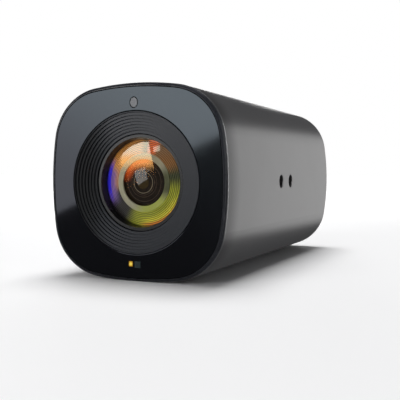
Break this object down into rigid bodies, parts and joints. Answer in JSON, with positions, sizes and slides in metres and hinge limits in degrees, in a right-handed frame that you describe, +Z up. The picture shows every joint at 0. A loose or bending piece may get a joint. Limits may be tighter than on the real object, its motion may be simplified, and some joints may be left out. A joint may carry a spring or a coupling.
{
  "type": "zoom camera",
  "caption": "Box-type zoom camera head with a rounded-square metal tube, gloss front panel, terraced lens recess and rear sockets.",
  "frame": {"origin": "middle of the footprint, on the bottom flat, at the mouth of the tripod thread", "axes": "+Z up, the lens looks along -Y, +X is on the right for someone who looks along +Y"},
  "size_m": [0.072, 0.141, 0.0716],
  "materials": {
    "anodised_grey": "bead-blasted grey anodised",
    "bezel_black": "gloss black",
    "panel_gloss": "polished dark blue-grey",
    "baffle_satin": "satin black",
    "pipe_white": "milky light pipe",
    "yellow_lens": "clear yellow",
    "ir_dark": "infrared-pass dark",
    "circuit_board": "solder mask",
    "chip_black": "moulded package",
    "gasket_rubber": "soft rubber",
    "screw_steel": "plated steel",
    "lens_black": "matt black",
    "front_glass": "coated glass",
    "second_glass": "dark coated glass",
    "lens_glass": "polished glass",
    "cell_ridges": "ridged satin",
    "aperture_beige": "satin light",
    "moulded_black": "moulded black",
    "rod_steel": "ground steel",
    "motor_steel": "plated can",
    "blade_black": "blackened spring steel",
    "sheet_steel": "zinc-plated sheet",
    "plain_aluminium": "plain",
    "flex_amber": "polyimide",
    "rear_black": "powder-coated black",
    "socket_metal": "nickel-plated shell",
    "socket_black": "moulded black",
    "button_grey": "moulded grey"
  },
  "bodies": {
    "housing": {"housing_tube": "anodised_grey", "tripod_insert": "screw_steel", "front_bezel": "bezel_black", "front_panel": "panel_gloss", "lens_baffle": "baffle_satin", "status_light_pipe": "pipe_white", "indicator_lens": "yellow_lens", "ir_window": "ir_dark", "indicator_boards": "circuit_board", "indicator_leds": "chip_black", "ir_receiver": "chip_black", "front_gasket": "gasket_rubber", "rear_gasket": "gasket_rubber", "bezel_screws": "screw_steel", "retaining_ring": "lens_black", "front_element": "front_glass", "lens_cell": "cell_ridges", "aperture_ring": "aperture_beige", "second_element": "second_glass", "lens_frame": "moulded_black", "guide_rods": "rod_steel", "zoom_motor": "motor_steel", "focus_motor": "motor_steel", "iris_motor": "motor_steel", "filter_motor": "motor_steel", "image_sensor": "chip_black", "sensor_board": "circuit_board", "sensor_screws": "screw_steel", "lens_bracket": "sheet_steel", "bracket_screws": "screw_steel", "frame_screws": "screw_steel", "heat_spreader": "plain_aluminium", "thermal_pad": "gasket_rubber", "processor": "chip_black", "main_board": "circuit_board", "interface_board": "circuit_board", "standoffs": "screw_steel", "board_connector": "socket_black", "flex_cable": "flex_amber", "rear_panel": "rear_black", "rear_screws": "screw_steel", "lan_socket": "socket_metal", "video_socket": "socket_metal", "data_socket": "socket_metal", "power_jack": "socket_black", "audio_jack": "socket_black", "reset_switch": "socket_black"},
    "zoom_group": {"zoom_carriage": "moulded_black", "zoom_lens": "lens_glass"},
    "zoom_drive": {"zoom_screw": "rod_steel"},
    "focus_group": {"focus_carriage": "moulded_black", "focus_lens": "lens_glass"},
    "focus_drive": {"focus_screw": "rod_steel"},
    "iris_upper": {"iris_blade_upper": "blade_black"},
    "iris_lower": {"iris_blade_lower": "blade_black"},
    "iris_drive": {"iris_arm": "moulded_black"},
    "filter_slide": {"filter_frame": "moulded_black", "filter_glass": "lens_glass"},
    "filter_drive": {"filter_lever": "moulded_black"},
    "reset": {"reset_button": "button_grey"}
  },
  "joints": [
    {"name": "zoom_slide", "type": "slide", "parent": "housing", "child": "zoom_group", "axis": [0, 1, 0], "range_m": [0, 0.018]},
    {"name": "zoom_screw_turn", "type": "hinge", "parent": "housing", "child": "zoom_drive", "pos_m": [-0.02, -0.0405, 0.0421], "axis": [0, 1, 0], "range_deg": [-3240.5, 0.5]},
    {"name": "focus_slide", "type": "slide", "parent": "housing", "child": "focus_group", "axis": [0, 1, 0], "range_m": [0, 0.02]},
    {"name": "focus_screw_turn", "type": "hinge", "parent": "housing", "child": "focus_drive", "pos_m": [-0.02, -0.0105, 0.0291], "axis": [0, 1, 0], "range_deg": [-3600.5, 0.5]},
    {"name": "iris_upper_slide", "type": "slide", "parent": "housing", "child": "iris_upper", "axis": [0, 0, 1], "range_m": [-0.0022, 0.0022]},
    {"name": "iris_lower_slide", "type": "slide", "parent": "housing", "child": "iris_lower", "axis": [0, 0, 1], "range_m": [-0.0022, 0.0022]},
    {"name": "iris_arm_turn", "type": "hinge", "parent": "housing", "child": "iris_drive", "pos_m": [0.016, -0.0223, 0.0356], "axis": [0, 1, 0], "range_deg": [-25.3, 25.3]},
    {"name": "filter_shift", "type": "slide", "parent": "housing", "child": "filter_slide", "axis": [1, 0, 0], "range_m": [0, 0.0096]},
    {"name": "filter_lever_turn", "type": "hinge", "parent": "housing", "child": "filter_drive", "pos_m": [0, 0.0145, 0.0201], "axis": [0, 1, 0], "range_deg": [0, 64.56]},
    {"name": "reset_button_press", "type": "slide", "parent": "housing", "child": "reset", "axis": [0, -1, 0], "range_m": [0, 0.0006], "stiffness_N_per_m": 300, "springref_m": -0.001}
  ],
  "couplings": [
    {"joint": "zoom_screw_turn", "follows": "zoom_slide", "rad_per_m": -3141.6},
    {"joint": "focus_screw_turn", "follows": "focus_slide", "rad_per_m": -3141.6},
    {"joint": "iris_lower_slide", "follows": "iris_upper_slide", "ratio": -1},
    {"joint": "iris_arm_turn", "follows": "iris_upper_slide", "rad_per_m": 200},
    {"joint": "filter_lever_turn", "follows": "filter_shift", "rad_per_m": 117.2}
  ]
}
